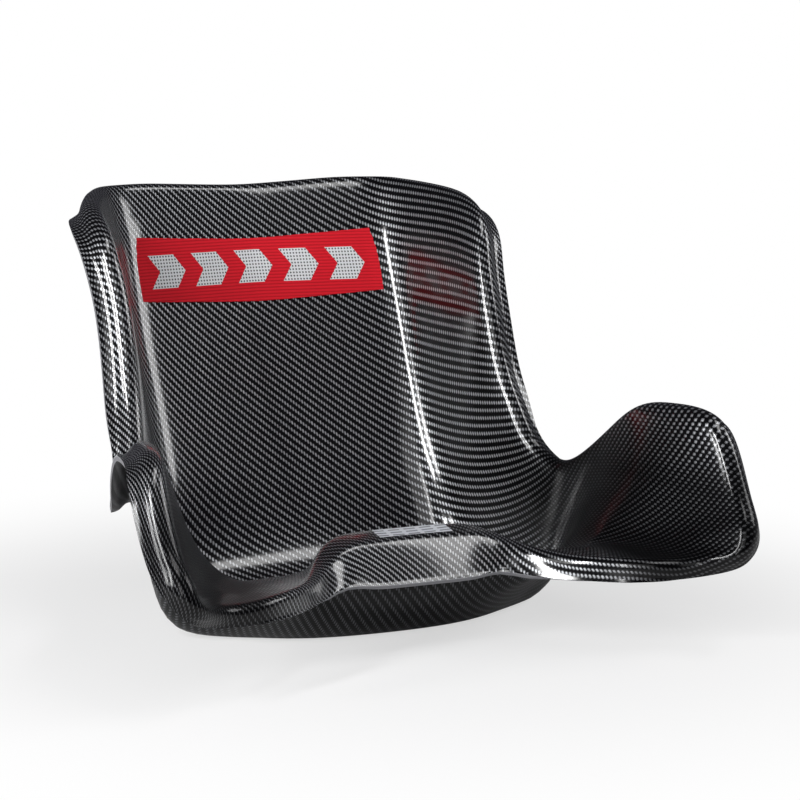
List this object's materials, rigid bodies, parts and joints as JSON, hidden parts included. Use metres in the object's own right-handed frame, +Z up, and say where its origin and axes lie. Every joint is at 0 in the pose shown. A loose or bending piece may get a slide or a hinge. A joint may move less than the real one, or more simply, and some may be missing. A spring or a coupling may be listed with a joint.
{
  "type": "kart bucket seat",
  "caption": "One-piece carbon fibre kart bucket seat: deep pan, raised front edge, thigh and back wings, rolled rim.",
  "frame": {"origin": "centre of the flat land under the belly, on which the seat stands", "axes": "+Z up, the sitter looks along -Y, +X is the sitter's left-hand side"},
  "size_m": [0.4902, 0.528, 0.3296],
  "materials": {
    "carbon_laminate": "carbon fibre and epoxy, dull resin surface",
    "twill_ply": "carbon fibre twill under clear glossy epoxy",
    "glass_pad": "glass fibre and epoxy, hidden in the wall",
    "badge_sheet": "printed woven sheet, satin",
    "label_sheet": "satin film"
  },
  "bodies": {
    "root": {"structural_laminate": "carbon_laminate", "inner_twill_ply": "twill_ply", "front_left_mounting_pad": "glass_pad", "front_right_mounting_pad": "glass_pad", "rear_left_mounting_pad": "glass_pad", "rear_right_mounting_pad": "glass_pad", "name_badge": "badge_sheet", "size_label": "label_sheet"}
  },
  "joints": []
}
